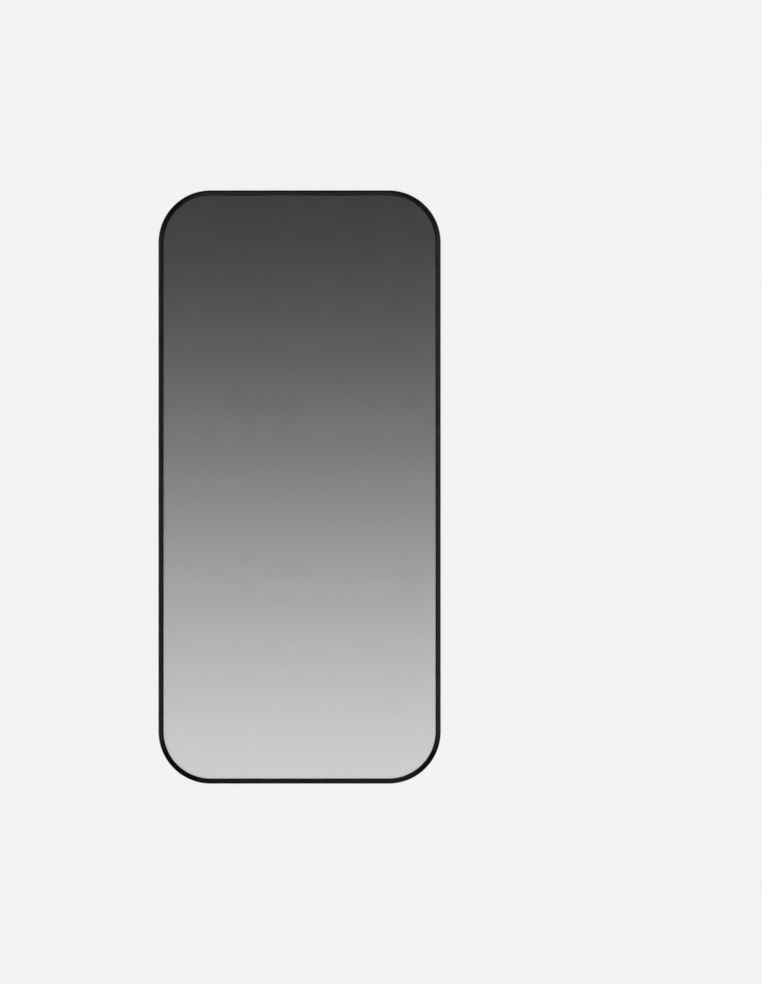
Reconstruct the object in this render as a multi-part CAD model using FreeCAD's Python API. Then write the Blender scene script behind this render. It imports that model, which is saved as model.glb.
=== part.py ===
# Phone privacy screen protector: a thin laminate of tempered glass, a printed black border,
# a louvred privacy film and a silicone adhesive.
# Millimetres. The plate lies on its adhesive face: X across, Y along with the plate's top
# edge at +Y, Z up. The origin is the middle of the plate, on the plane that it rests on.
import FreeCAD, Part
import math
import os

Vector = FreeCAD.Vector
UP = Vector(0, 0, 1)

# Outline of the glass, seen from the front
PLATE_WIDTH = 69.5
PLATE_LENGTH = 146.1
CORNER_RADIUS = 12.85

# Tempered glass, with its front edge ground to a shallow curve and its back edge broken
GLASS_THICKNESS = 0.33
EDGE_RUN = 1.1        # how far the front curve reaches in from the rim
EDGE_LAND = 0.08      # upright rim between the front curve and the back chamfer
BACK_CHAMFER = 0.05

# Black border, screen-printed on the back of the glass out to its chamfer
BORDER_WIDTH = 1.25   # from the rim of the glass
INK_THICKNESS = 0.02

# Louvred privacy film, cut a little smaller than the glass
FILM_THICKNESS = 0.18
FILM_INSET = 0.3

# Silicone adhesive on the back of the film
ADHESIVE_THICKNESS = 0.1
ADHESIVE_INSET = 0.4

# Heights at which the layers meet, from the adhesive face up
FILM_BACK = ADHESIVE_THICKNESS
INK_BACK = FILM_BACK + FILM_THICKNESS
GLASS_BACK = INK_BACK + INK_THICKNESS
GLASS_FRONT = GLASS_BACK + GLASS_THICKNESS

# Centres of the corner arcs, which every layer shares, anticlockwise from +X +Y
CORNER_X = PLATE_WIDTH / 2 - CORNER_RADIUS
CORNER_Y = PLATE_LENGTH / 2 - CORNER_RADIUS
CORNERS = [
    (CORNER_X, CORNER_Y),
    (-CORNER_X, CORNER_Y),
    (-CORNER_X, -CORNER_Y),
    (CORNER_X, -CORNER_Y),
]
QUARTER_TURN = 90


def outline(inset, z):
    """The glass outline taken in by inset all round, at height z."""
    radius = CORNER_RADIUS - inset
    arcs = []
    for number, (x, y) in enumerate(CORNERS):
        start = number * QUARTER_TURN
        arcs.append(Part.makeCircle(radius, Vector(x, y, z), UP, start, start + QUARTER_TURN))
    sides = []
    for arc, following in zip(arcs, arcs[1:] + arcs[:1]):
        sides.append(Part.makeLine(arc.lastVertex().Point, following.firstVertex().Point))
    edges = [edge for pair in zip(arcs, sides) for edge in pair]
    return Part.Wire(edges)


def layer(inset, bottom, thickness):
    """A flat sheet inside the outline, from height bottom upwards."""
    return Part.Face(outline(inset, bottom)).extrude(UP * thickness)


def rim_section():
    """Half section of the glass from a corner's centre line, at X = 0, out to the rim."""
    land_bottom = GLASS_BACK + BACK_CHAMFER
    land_top = land_bottom + EDGE_LAND
    drop = GLASS_FRONT - land_top
    curve_radius = (EDGE_RUN**2 + drop**2) / (2 * drop)
    curve_inner = CORNER_RADIUS - EDGE_RUN
    half_sweep = math.asin(EDGE_RUN / curve_radius) / 2

    centre_back = Vector(0, 0, GLASS_BACK)
    chamfer_back = Vector(CORNER_RADIUS - BACK_CHAMFER, 0, GLASS_BACK)
    chamfer_rim = Vector(CORNER_RADIUS, 0, land_bottom)
    curve_rim = Vector(CORNER_RADIUS, 0, land_top)
    curve_middle = Vector(
        curve_inner + curve_radius * math.sin(half_sweep),
        0,
        GLASS_FRONT - curve_radius * (1 - math.cos(half_sweep)),
    )
    curve_front = Vector(curve_inner, 0, GLASS_FRONT)
    centre_front = Vector(0, 0, GLASS_FRONT)
    edges = [
        Part.makeLine(centre_back, chamfer_back),
        Part.makeLine(chamfer_back, chamfer_rim),
        Part.makeLine(chamfer_rim, curve_rim),
        Part.Arc(curve_rim, curve_middle, curve_front).toShape(),
        Part.makeLine(curve_front, centre_front),
        Part.makeLine(centre_front, centre_back),
    ]
    return Part.Face(Part.Wire(edges))


def cover_glass():
    """The glass: the rim section turned round each corner and drawn along each side."""
    section = rim_section()
    middle = Part.makeBox(
        2 * CORNER_X,
        2 * CORNER_Y,
        GLASS_THICKNESS,
        Vector(-CORNER_X, -CORNER_Y, GLASS_BACK),
    )
    blocks = []
    for number, (x, y) in enumerate(CORNERS):
        next_x, next_y = CORNERS[(number + 1) % len(CORNERS)]
        placed = section.copy()
        placed.rotate(Vector(0, 0, 0), UP, number * QUARTER_TURN)
        placed.translate(Vector(x, y, 0))
        corner = placed.revolve(Vector(x, y, 0), UP, QUARTER_TURN)
        placed.rotate(Vector(x, y, 0), UP, QUARTER_TURN)
        side = placed.extrude(Vector(next_x - x, next_y - y, 0))
        blocks += [corner, side]
    return middle.fuse(blocks).removeSplitter()


def border_print():
    """The ink frame between the glass and the film."""
    window = layer(BORDER_WIDTH, INK_BACK, INK_THICKNESS)
    return layer(BACK_CHAMFER, INK_BACK, INK_THICKNESS).cut(window)


def privacy_film():
    """The film, pressed up into the ink frame's window until it meets the glass."""
    sheet = layer(FILM_INSET, FILM_BACK, FILM_THICKNESS)
    window = layer(BORDER_WIDTH, INK_BACK, INK_THICKNESS)
    return sheet.fuse(window).removeSplitter()


def adhesive_layer():
    """The soft silicone that the plate clings by."""
    return layer(ADHESIVE_INSET, 0, ADHESIVE_THICKNESS)


def single_solid(shape):
    """The one solid that a layer is made of."""
    solid, = shape.Solids
    return solid


os.makedirs("parts", exist_ok=True)
for make in (cover_glass, border_print, privacy_film, adhesive_layer):
    piece = single_solid(make())
    piece.exportStep(f"parts/{make.__name__}.step")
    box = piece.optimalBoundingBox()
    print(
        f"{make.__name__}: {box.XLength:.2f} x {box.YLength:.2f} x {box.ZLength:.3f} mm,"
        f" {piece.Volume:.2f} mm3, {len(piece.Faces)} faces, valid {piece.isValid()}"
    )
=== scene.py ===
"""Phone privacy screen protector: a thin glass laminate that lies face up on a pale studio floor."""

import math

import bmesh
import bpy
from mathutils import Euler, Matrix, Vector


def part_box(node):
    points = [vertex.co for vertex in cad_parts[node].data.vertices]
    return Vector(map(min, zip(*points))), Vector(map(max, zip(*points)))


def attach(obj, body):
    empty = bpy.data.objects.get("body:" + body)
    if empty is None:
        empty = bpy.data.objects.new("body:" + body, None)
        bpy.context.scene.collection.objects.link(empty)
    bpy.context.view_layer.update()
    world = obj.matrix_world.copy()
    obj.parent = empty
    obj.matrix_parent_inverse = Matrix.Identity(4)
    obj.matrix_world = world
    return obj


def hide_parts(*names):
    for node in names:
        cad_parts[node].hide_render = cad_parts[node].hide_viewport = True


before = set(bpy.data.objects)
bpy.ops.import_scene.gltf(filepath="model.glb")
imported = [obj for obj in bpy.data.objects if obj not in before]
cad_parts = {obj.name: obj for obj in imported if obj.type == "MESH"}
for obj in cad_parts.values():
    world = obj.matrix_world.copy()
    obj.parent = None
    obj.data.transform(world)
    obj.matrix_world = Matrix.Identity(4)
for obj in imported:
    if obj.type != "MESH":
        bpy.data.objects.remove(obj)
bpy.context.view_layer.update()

MM = 0.001
WHITE = "#ffffff"

# Sizes that the layers' boxes don't give, as in the part
CORNER_RADIUS = 12.85 * MM
EDGE_RUN = 1.1 * MM
EDGE_LAND = 0.08 * MM
BACK_CHAMFER = 0.05 * MM
BORDER_WIDTH = 1.25 * MM

# Each layer stops this hair short of the one above it, so that no two faces share one plane
BOND_ROOM = 0.004 * MM

# Facets round a quarter corner and across the ground edge, and the angle that still shades smooth
CORNER_STEPS = 32
CURVE_STEPS = 16
SMOOTH_ANGLE = math.radians(15)

# Refractive index of the clear materials
GLASS_IOR = 1.51
SILICONE_IOR = 1.41

# Share of a pale floor's brightness, as the eye grades it, that comes through the louvre film
TINT_TOP = 0.305
TINT_BOTTOM = 0.882
DISPLAY_POWER = 2.4

# The film's slats as they are drawn: their spacing, and how much they change the tint either way
SLAT_PITCH = 0.75 * MM
SLAT_DEPTH = 0.006

# Range that a noise texture's value mostly keeps to
NOISE_SPAN = (0.3, 0.7)

# Where the black border lies in the picture, in pixels
PICTURE = (762, 984)
BORDER_CENTRE = (299.6, 487.0)
BORDER_ACROSS = 281.84

# Camera with a long lens, straight above: focal length and sensor width in millimetres
LENS = 300
SENSOR = 36

# The room: a pale floor and walls, and a ceiling that lights the floor but is flagged off from the
# glass. A span says where a light sets in and where it is full, from 0 at eye level to 1 overhead.
GROUND = "#f3f3f3"
GROUND_GAP = 0.02 * MM
GROUND_SIZE = 8.0
CEILING_LIGHT = 3.01
CEILING_SPAN = (0.65, 1.0)
WALL_LIGHT = 0.9
WALL_SPAN = (0.6, 0.1)

# Soft oval lamps round the camera, which the ground edge mirrors as a faint sheen on the border:
# turn from +X, nearest and furthest slant from overhead, all in degrees, width in metres, radiance
LAMPS = {
    "right": (1, 3, 48, 1.1, 0.40),
    "far": (94, 4, 27, 0.82, 0.42),
    "left": (180, 4, 48, 1.25, 0.26),
    "near": (279, 4, 48, 1.05, 0.21),
    "far_right": (38, 4, 48, 1.1, 0.12),
}

# A lamp is two ovals, one hung in front of the other, so that it fades to its sides: distance in
# metres, share of the width, share of the light
LAMP_OVALS = ((3.0, 1.0, 0.5), (2.9, 0.54, 0.5))


def linear(hex_colour):
    """Scene-linear RGBA of an sRGB hex colour."""
    channels = [int(hex_colour[i : i + 2], 16) / 255 for i in (1, 3, 5)]
    return [c / 12.92 if c <= 0.04045 else ((c + 0.055) / 1.055) ** 2.4 for c in channels] + [1.0]


def add(tree, kind, inputs=(), **settings):
    """Adds a node with its settings, and sets or links its inputs."""
    made = tree.nodes.new(kind)
    for name, value in settings.items():
        setattr(made, name, value)
    for name, value in dict(inputs).items():
        if isinstance(value, bpy.types.NodeSocket):
            tree.links.new(value, made.inputs[name])
        else:
            made.inputs[name].default_value = value
    return made


def new_material(name):
    """A material with no nodes yet, and its node tree."""
    made = bpy.data.materials.new(name)
    made.use_nodes = True
    made.node_tree.nodes.clear()
    return made, made.node_tree


def mottle(tree, size, low, high):
    """A soft blotchy value from low to high, with blotches of about the given size."""
    place = add(tree, "ShaderNodeTexCoord").outputs["Object"]
    noise = add(tree, "ShaderNodeTexNoise", {"Vector": place, "Scale": 1 / size, "Detail": 3.0})
    spread = {
        "Value": noise.outputs["Fac"],
        "From Min": NOISE_SPAN[0],
        "From Max": NOISE_SPAN[1],
        "To Min": low,
        "To Max": high,
    }
    return add(tree, "ShaderNodeMapRange", spread).outputs[0]


def clear_gloss(tree, ior, roughness):
    """A clear surface that mirrors more at a slant, from outside only, as its material's output."""
    mirror = add(tree, "ShaderNodeBsdfGlossy", {"Color": linear(WHITE), "Roughness": roughness})
    clear = add(tree, "ShaderNodeBsdfTransparent", {"Color": linear(WHITE)})
    share = add(tree, "ShaderNodeFresnel", {"IOR": ior}).outputs[0]
    inside = add(tree, "ShaderNodeNewGeometry").outputs["Backfacing"]
    outside = add(tree, "ShaderNodeMath", {0: 1.0, 1: inside}, operation="SUBTRACT").outputs[0]
    share = add(tree, "ShaderNodeMath", {0: share, 1: outside}, operation="MULTIPLY").outputs[0]
    both = {0: share, 1: clear.outputs[0], 2: mirror.outputs[0]}
    surface = add(tree, "ShaderNodeMixShader", both)
    add(tree, "ShaderNodeOutputMaterial", {"Surface": surface.outputs[0]})


# Materials
def polished_glass():
    """Aluminosilicate glass, fire polished: clear, with sharp reflections and a trace of wiping."""
    made, tree = new_material("tempered_glass_polished")
    clear_gloss(tree, GLASS_IOR, mottle(tree, 7 * MM, 0.015, 0.035))
    return made


def ground_glass():
    """The same glass, wheel ground and buffed: its reflections are softer and a little grainy."""
    made, tree = new_material("tempered_glass_ground_edge")
    clear_gloss(tree, GLASS_IOR, mottle(tree, 0.4 * MM, 0.03, 0.05))
    return made


def frosted_glass():
    """The same glass, as the wheel cut it: a fine frosting, which shows as a pale line round the rim."""
    made, tree = new_material("tempered_glass_frosted_rim")
    shader = add(
        tree,
        "ShaderNodeBsdfPrincipled",
        {
            "Base Color": linear("#c2cec8"),
            "Roughness": mottle(tree, 0.2 * MM, 0.4, 0.6),
            "IOR": GLASS_IOR,
            "Alpha": 0.55,
        },
    )
    add(tree, "ShaderNodeOutputMaterial", {"Surface": shader.outputs[0]})
    return made


def bonded_glass():
    """The back of the glass: bonded all over, so it has no reflection of its own."""
    made, tree = new_material("tempered_glass_bonded")
    clear = add(tree, "ShaderNodeBsdfTransparent", {"Color": linear("#fefefe")})
    add(tree, "ShaderNodeOutputMaterial", {"Surface": clear.outputs[0]})
    return made


def border_ink():
    """Screen-printed ink: a dense matt black, cloudy where the squeegee laid it thinner."""
    made, tree = new_material("screen_printed_ink_black")
    cloud_size = 0.8 * MM
    cloud = add(tree, "ShaderNodeValToRGB", {"Fac": mottle(tree, cloud_size, 0.0, 1.0)})
    thick, thin = cloud.color_ramp.elements
    thick.color, thin.color = linear("#040404"), linear("#090909")
    shader = add(
        tree,
        "ShaderNodeBsdfPrincipled",
        {
            "Base Color": cloud.outputs["Color"],
            "Roughness": mottle(tree, cloud_size, 0.55, 0.7),
            "Specular IOR Level": 0.0,
        },
    )
    add(tree, "ShaderNodeOutputMaterial", {"Surface": shader.outputs[0]})
    return made


def louvre_film():
    """Polyester film with black slats set on edge along it, which reads as a grey tint from the front.

    The tint is darkest at the top edge. Slats are about 0.05 mm apart, too fine to show, so they
    are drawn as faint lines much further apart. Light crosses two faces of the film, so each has
    the square root of the tint.
    """
    made, tree = new_material("polyester_louvre_film")
    low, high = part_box("privacy_film")
    place = add(tree, "ShaderNodeTexCoord").outputs["Object"]
    along = add(tree, "ShaderNodeSeparateXYZ", {0: place})
    halves = []
    for shape in ("LINEAR", "SMOOTHSTEP"):
        run = {
            "Value": along.outputs["Y"],
            "From Min": high.y,
            "From Max": low.y,
            "To Min": TINT_TOP / 2,
            "To Max": TINT_BOTTOM / 2,
        }
        halves.append(add(tree, "ShaderNodeMapRange", run, interpolation_type=shape).outputs[0])
    tone = add(tree, "ShaderNodeMath", {0: halves[0], 1: halves[1]}, operation="ADD")
    turn = {0: along.outputs["X"], 1: 2 * math.pi / SLAT_PITCH}
    turn = add(tree, "ShaderNodeMath", turn, operation="MULTIPLY")
    slats = add(tree, "ShaderNodeMath", {0: turn.outputs[0]}, operation="SINE")
    lined = {0: slats.outputs[0], 1: SLAT_DEPTH, 2: tone.outputs[0]}
    lined = add(tree, "ShaderNodeMath", lined, operation="MULTIPLY_ADD")
    face = {0: lined.outputs[0], 1: DISPLAY_POWER / 2}
    face = add(tree, "ShaderNodeMath", face, operation="POWER")
    tinted = add(tree, "ShaderNodeBsdfTransparent", {"Color": face.outputs[0]})
    add(tree, "ShaderNodeOutputMaterial", {"Surface": tinted.outputs[0]})
    return made


def bare_silicone():
    """Soft silicone, cast on a liner: clear and wet-looking, with a faint orange peel."""
    made, tree = new_material("silicone_adhesive_bare")
    clear_gloss(tree, SILICONE_IOR, mottle(tree, 1.5 * MM, 0.12, 0.2))
    return made


def bonded_silicone():
    """The silicone's upper side, which wets the film and has no reflection of its own."""
    made, tree = new_material("silicone_adhesive_bonded")
    clear = add(tree, "ShaderNodeBsdfTransparent", {"Color": linear("#fdfdfd")})
    add(tree, "ShaderNodeOutputMaterial", {"Surface": clear.outputs[0]})
    return made


def studio_card():
    """Matt pale card, seen from above only, so that the plate's underside can be looked at."""
    made, tree = new_material("studio_card_pale")
    card = add(tree, "ShaderNodeBsdfDiffuse", {"Color": linear(GROUND)})
    clear = add(tree, "ShaderNodeBsdfTransparent", {"Color": linear(WHITE)})
    below = add(tree, "ShaderNodeNewGeometry").outputs["Backfacing"]
    surface = add(tree, "ShaderNodeMixShader", {0: below, 1: card.outputs[0], 2: clear.outputs[0]})
    add(tree, "ShaderNodeOutputMaterial", {"Surface": surface.outputs[0]})
    return made


# Layers
def inset_of(node):
    """How far a node's outline lies inside the outline of the glass."""
    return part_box("cover_glass")[1].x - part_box(node)[1].x


def rounded_face(bm, node, z):
    """A flat face with a node's outline, rounded corners and all, at height z."""
    low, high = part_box(node)
    bmesh.ops.create_grid(bm, x_segments=1, y_segments=1, size=0.5)
    bmesh.ops.scale(bm, vec=(high.x - low.x, high.y - low.y, 1), verts=bm.verts)
    bmesh.ops.translate(bm, vec=(0, 0, z), verts=bm.verts)
    bmesh.ops.bevel(
        bm,
        geom=bm.verts,
        offset=CORNER_RADIUS - inset_of(node),
        offset_type="OFFSET",
        segments=CORNER_STEPS,
        profile=0.5,
        affect="VERTICES",
        material=-1,
    )
    face, = bm.faces
    return face


def raised(bm, faces, height):
    """Draws flat faces straight up into a solid, and gives the faces on top."""
    drawn = bmesh.ops.extrude_face_region(bm, geom=faces)["geom"]
    corners = [part for part in drawn if isinstance(part, bmesh.types.BMVert)]
    bmesh.ops.translate(bm, vec=(0, 0, height), verts=corners)
    return [part for part in drawn if isinstance(part, bmesh.types.BMFace)]


def finished(bm, node, *materials):
    """Turns a bmesh into the piece that stands for a node."""
    bmesh.ops.recalc_face_normals(bm, faces=bm.faces)
    for edge in bm.edges:
        edge.smooth = edge.calc_face_angle() < SMOOTH_ANGLE
    # Curved walls are strips of four-sided faces, and the flat faces have a corner at every facet
    for face in bm.faces:
        face.smooth = len(face.verts) == 4
    mesh = bpy.data.meshes.new(node + "_finished")
    bm.to_mesh(mesh)
    bm.free()
    for made in materials:
        mesh.materials.append(made)
    piece = bpy.data.objects.new(node + "_finished", mesh)
    bpy.context.scene.collection.objects.link(piece)
    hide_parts(node)
    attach(piece, "root")
    return piece


def make_glass():
    """The glass plate, with its ground front edge and broken back edge."""
    low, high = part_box("cover_glass")
    drop = high.z - low.z - BACK_CHAMFER - EDGE_LAND
    radius = (EDGE_RUN**2 + drop**2) / (2 * drop)
    sweep = math.asin(EDGE_RUN / radius)
    polished, ground, frosted, bonded = range(4)
    bm = bmesh.new()
    back = rounded_face(bm, "cover_glass", low.z + BACK_CHAMFER)
    front, = raised(bm, [back], EDGE_LAND)
    bmesh.ops.inset_region(
        bm, faces=[back], thickness=BACK_CHAMFER, depth=BACK_CHAMFER, use_even_offset=True
    )
    for face in bm.faces:
        face.material_index = frosted
    front.material_index = ground
    for step in range(CURVE_STEPS):
        outer = sweep * (1 - step / CURVE_STEPS)
        inner = sweep * (1 - (step + 1) / CURVE_STEPS)
        bmesh.ops.inset_region(
            bm,
            faces=[front],
            thickness=radius * (math.sin(outer) - math.sin(inner)),
            depth=radius * (math.cos(inner) - math.cos(outer)),
            use_even_offset=True,
        )
    front.material_index = polished
    back.material_index = bonded
    return finished(
        bm, "cover_glass", polished_glass(), ground_glass(), frosted_glass(), bonded_glass()
    )


def make_border():
    """The ink frame on the back of the glass."""
    low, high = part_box("border_print")
    bm = bmesh.new()
    window = rounded_face(bm, "border_print", low.z)
    ring = bmesh.ops.inset_region(
        bm,
        faces=[window],
        thickness=BORDER_WIDTH - BACK_CHAMFER,
        use_even_offset=True,
        use_boundary=True,
    )["faces"]
    bmesh.ops.delete(bm, geom=[window], context="FACES_ONLY")
    raised(bm, ring, high.z - low.z - BOND_ROOM)
    return finished(bm, "border_print", border_ink())


def make_film():
    """The film, with the step that fills the ink frame's window."""
    low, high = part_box("privacy_film")
    ink_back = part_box("border_print")[0].z
    bm = bmesh.new()
    back = rounded_face(bm, "privacy_film", low.z)
    top = raised(bm, [back], ink_back - low.z - BOND_ROOM)
    shoulder = BORDER_WIDTH - inset_of("privacy_film") + BOND_ROOM
    bmesh.ops.inset_region(bm, faces=top, thickness=shoulder, use_even_offset=True)
    bmesh.ops.inset_region(bm, faces=top, thickness=0, depth=high.z - ink_back)
    return finished(bm, "privacy_film", louvre_film())


def make_adhesive():
    """The silicone on the back of the film."""
    low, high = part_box("adhesive_layer")
    bare, bonded = range(2)
    bm = bmesh.new()
    back = rounded_face(bm, "adhesive_layer", low.z)
    front, = raised(bm, [back], high.z - low.z - BOND_ROOM)
    for face in bm.faces:
        face.material_index = bare
    front.material_index = bonded
    return finished(bm, "adhesive_layer", bare_silicone(), bonded_silicone())


see_through = [make_glass(), make_film(), make_adhesive()]
make_border()

# The floor under a see-through layer is as bright as the floor beside it
for piece in see_through:
    piece.visible_shadow = False
    piece.visible_diffuse = False


# Studio
def make_floor():
    """A wide flat card that the plate lies on, too near to be mirrored in its underside."""
    bm = bmesh.new()
    bmesh.ops.create_grid(bm, x_segments=1, y_segments=1, size=GROUND_SIZE / 2)
    bmesh.ops.translate(bm, vec=(0, 0, -GROUND_GAP), verts=bm.verts)
    mesh = bpy.data.meshes.new("studio_floor")
    bm.to_mesh(mesh)
    bm.free()
    mesh.materials.append(studio_card())
    floor = bpy.data.objects.new("studio_floor", mesh)
    floor.visible_glossy = False
    bpy.context.scene.collection.objects.link(floor)


def make_room():
    """World light from the ceiling, pale walls in the glass, and one pale tone behind it all."""
    world = bpy.data.worlds.new("studio_room")
    bpy.context.scene.world = world
    world.use_nodes = True
    tree = world.node_tree
    tree.nodes.clear()
    path = add(tree, "ShaderNodeLightPath")
    way = add(tree, "ShaderNodeTexCoord").outputs["Generated"]
    rise = add(tree, "ShaderNodeSeparateXYZ", {0: way}).outputs["Z"]
    tilt = add(tree, "ShaderNodeMath", {0: rise}, operation="ABSOLUTE").outputs[0]
    glow = {}
    for part, height, span, level in (
        ("ceiling", rise, CEILING_SPAN, CEILING_LIGHT),
        ("walls", tilt, WALL_SPAN, WALL_LIGHT),
    ):
        fade = {"Value": height, "From Min": span[0], "From Max": span[1], "To Max": level}
        fade = add(tree, "ShaderNodeMapRange", fade, interpolation_type="SMOOTHSTEP")
        shine = {"Color": linear(WHITE), "Strength": fade.outputs[0]}
        glow[part] = add(tree, "ShaderNodeBackground", shine).outputs[0]
    backdrop = add(tree, "ShaderNodeBackground", {"Color": linear(GROUND)}).outputs[0]
    lit = {0: path.outputs["Is Glossy Ray"], 1: glow["ceiling"], 2: glow["walls"]}
    lit = add(tree, "ShaderNodeMixShader", lit)
    seen = {0: path.outputs["Is Camera Ray"], 1: lit.outputs[0], 2: backdrop}
    seen = add(tree, "ShaderNodeMixShader", seen)
    add(tree, "ShaderNodeOutputWorld", {"Surface": seen.outputs[0]})


def make_lamp(name, turn, nearest, furthest, width, radiance):
    """An oval soft lamp that faces the plate, with its length pointing away from the camera."""
    aim = Euler((0, math.radians(nearest + furthest) / 2, math.radians(turn)))
    spread = math.radians(furthest - nearest) / 2
    for away, slimness, share in LAMP_OVALS:
        lamp = bpy.data.lights.new("lamp_" + name, "AREA")
        lamp.shape = "ELLIPSE"
        lamp.size, lamp.size_y = 2 * away * math.tan(spread), slimness * width
        lamp.energy = share * radiance * math.pi * (math.pi / 4 * lamp.size * lamp.size_y)
        holder = bpy.data.objects.new("lamp_" + name, lamp)
        holder.rotation_euler = aim
        holder.location = aim.to_matrix() @ Vector((0, 0, away))
        holder.visible_camera = False
        bpy.context.scene.collection.objects.link(holder)


def make_camera():
    """Straight above the plate, so far off that its border is as wide in the picture as it should be."""
    low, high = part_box("border_print")
    pixel = (high.x - low.x) / BORDER_ACROSS
    data = bpy.data.cameras.new("camera")
    data.lens, data.sensor_width = LENS, SENSOR
    camera = bpy.data.objects.new("camera", data)
    camera.location = (
        (PICTURE[0] / 2 - BORDER_CENTRE[0]) * pixel,
        (BORDER_CENTRE[1] - PICTURE[1] / 2) * pixel,
        pixel * max(PICTURE) * LENS / SENSOR + high.z,
    )
    bpy.context.scene.collection.objects.link(camera)
    bpy.context.scene.camera = camera


make_floor()
make_room()
for name, lamp_values in LAMPS.items():
    make_lamp(name, *lamp_values)
make_camera()
bpy.context.scene.view_settings.view_transform = "Standard"
